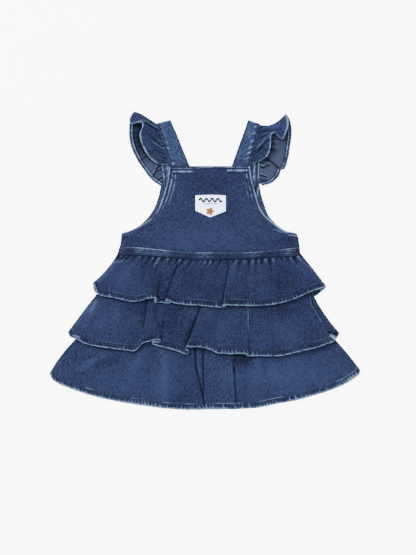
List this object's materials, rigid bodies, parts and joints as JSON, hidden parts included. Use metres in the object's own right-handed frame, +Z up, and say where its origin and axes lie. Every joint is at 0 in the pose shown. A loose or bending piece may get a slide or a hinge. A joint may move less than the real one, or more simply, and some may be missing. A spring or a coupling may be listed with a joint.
{
  "type": "pinafore dress",
  "caption": "Small child's denim pinafore dress laid flat on its back, with a bib, ruffled shoulder straps, a stitched waistband and gathered tiers with turned hems.",
  "frame": {"origin": "middle of the dress's outline, on the surface that it lies on", "axes": "+X to the viewer's right across the hem, +Y up the dress to the shoulders, +Z up from the surface"},
  "size_m": [0.4634, 0.4451, 0.0116],
  "materials": {
    "denim_bodice": "matte",
    "denim_tier_1": "matte",
    "denim_tier_2": "matte",
    "denim_tier_3": "matte",
    "denim_strap": "matte",
    "woven_patch": "matte"
  },
  "bodies": {
    "root": {"back_bodice": "denim_bodice", "front_bib": "denim_bodice", "waistband_back": "denim_bodice", "waistband_front": "denim_bodice", "tier_1_back": "denim_tier_1", "tier_1_front": "denim_tier_1", "tier_2_back": "denim_tier_2", "tier_2_front": "denim_tier_2", "under_skirt_back": "denim_tier_2", "under_skirt_front": "denim_tier_2", "tier_3_back": "denim_tier_3", "tier_3_front": "denim_tier_3", "strap_left": "denim_strap", "strap_right": "denim_strap", "shoulder_ruffle_left": "denim_strap", "shoulder_ruffle_right": "denim_strap", "label_patch": "woven_patch"}
  },
  "joints": []
}
